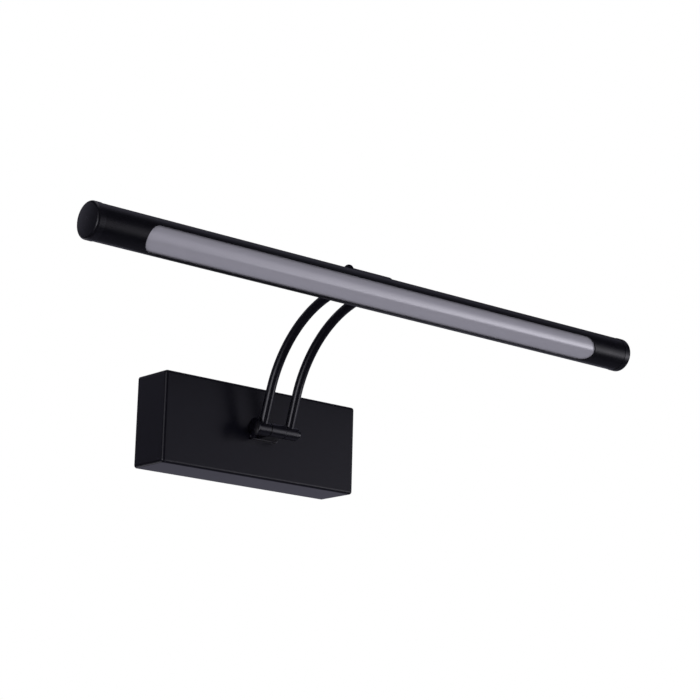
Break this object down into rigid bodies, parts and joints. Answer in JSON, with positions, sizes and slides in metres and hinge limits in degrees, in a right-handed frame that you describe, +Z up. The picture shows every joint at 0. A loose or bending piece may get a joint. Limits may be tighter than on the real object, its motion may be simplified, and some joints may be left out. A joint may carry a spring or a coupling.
{
  "type": "picture light",
  "caption": "Wall-mounted picture light: a flat wall box carries two bent tube arms on a friction hinge, and a slim tubular LED head on a second hinge.",
  "frame": {"origin": "on the wall plane, at the centre of the wall box's open back", "axes": "+X along the head, to the right as seen from the room; +Y into the wall, so -Y points out into the room; +Z up"},
  "size_m": [0.436, 0.1579, 0.1201],
  "materials": {
    "black_paint": "satin black powder paint",
    "black_anodised": "satin black anodised aluminium",
    "raw_aluminium": "plain extruded aluminium",
    "plated_steel": "bright zinc plating",
    "black_steel": "satin black oxide",
    "brass": "plain brass",
    "opal_plastic": "satin opal acrylic",
    "white_plastic": "moulded white plastic",
    "clear_nylon": "natural nylon",
    "fibre": "dark vulcanised fibre",
    "circuit_board": "white lacquered board",
    "led_phosphor": "yellow phosphor",
    "grommet_rubber": "black rubber",
    "earth_sleeve": "green insulation",
    "supply_sleeve": "blue insulation",
    "lamp_sleeve": "red insulation"
  },
  "bodies": {
    "base": {"wall_bracket": "plated_steel", "cable_grommet": "grommet_rubber", "earth_screw": "plated_steel", "earth_lead": "earth_sleeve", "terminal_block": "clear_nylon", "terminal_inserts": "brass", "terminal_screws": "plated_steel", "terminal_fixing_screw": "plated_steel", "box_cover": "black_paint", "cover_screws": "black_steel", "led_driver": "white_plastic", "driver_screws": "plated_steel", "supply_leads": "supply_sleeve", "hinge_leads": "lamp_sleeve", "hinge_base": "black_paint", "hinge_nipple": "plated_steel", "nipple_washer": "plated_steel", "nipple_nut": "plated_steel", "lower_friction_washers": "fibre"},
    "arm": {"lower_knuckle_left": "black_paint", "lower_knuckle_right": "black_paint", "upper_knuckle_left": "black_paint", "upper_knuckle_right": "black_paint", "lower_pivot_screw": "black_steel", "upper_pivot_screw": "black_steel", "lower_spring_washer": "black_steel", "upper_spring_washer": "black_steel", "lower_cap_nut": "black_steel", "upper_cap_nut": "black_steel", "arm_tube_left": "black_paint", "arm_tube_right": "black_paint", "arm_leads": "lamp_sleeve"},
    "head": {"head_tube": "black_anodised", "head_knuckle": "black_paint", "upper_friction_washers": "fibre", "saddle_plate": "plated_steel", "saddle_screws": "plated_steel", "led_bar": "raw_aluminium", "led_board": "circuit_board", "leds": "led_phosphor", "board_screws": "plated_steel", "diffuser": "opal_plastic", "end_cap_left": "black_anodised", "end_cap_right": "black_anodised", "head_leads": "lamp_sleeve"}
  },
  "joints": [
    {"name": "arm_tilt", "type": "hinge", "parent": "base", "child": "arm", "pos_m": [0, -0.0445, 0], "axis": [1, 0, 0], "range_deg": [-30, 60]},
    {"name": "head_tilt", "type": "hinge", "parent": "arm", "child": "head", "pos_m": [0, -0.13402, 0.08402], "axis": [1, 0, 0], "range_deg": [-45, 60]}
  ]
}
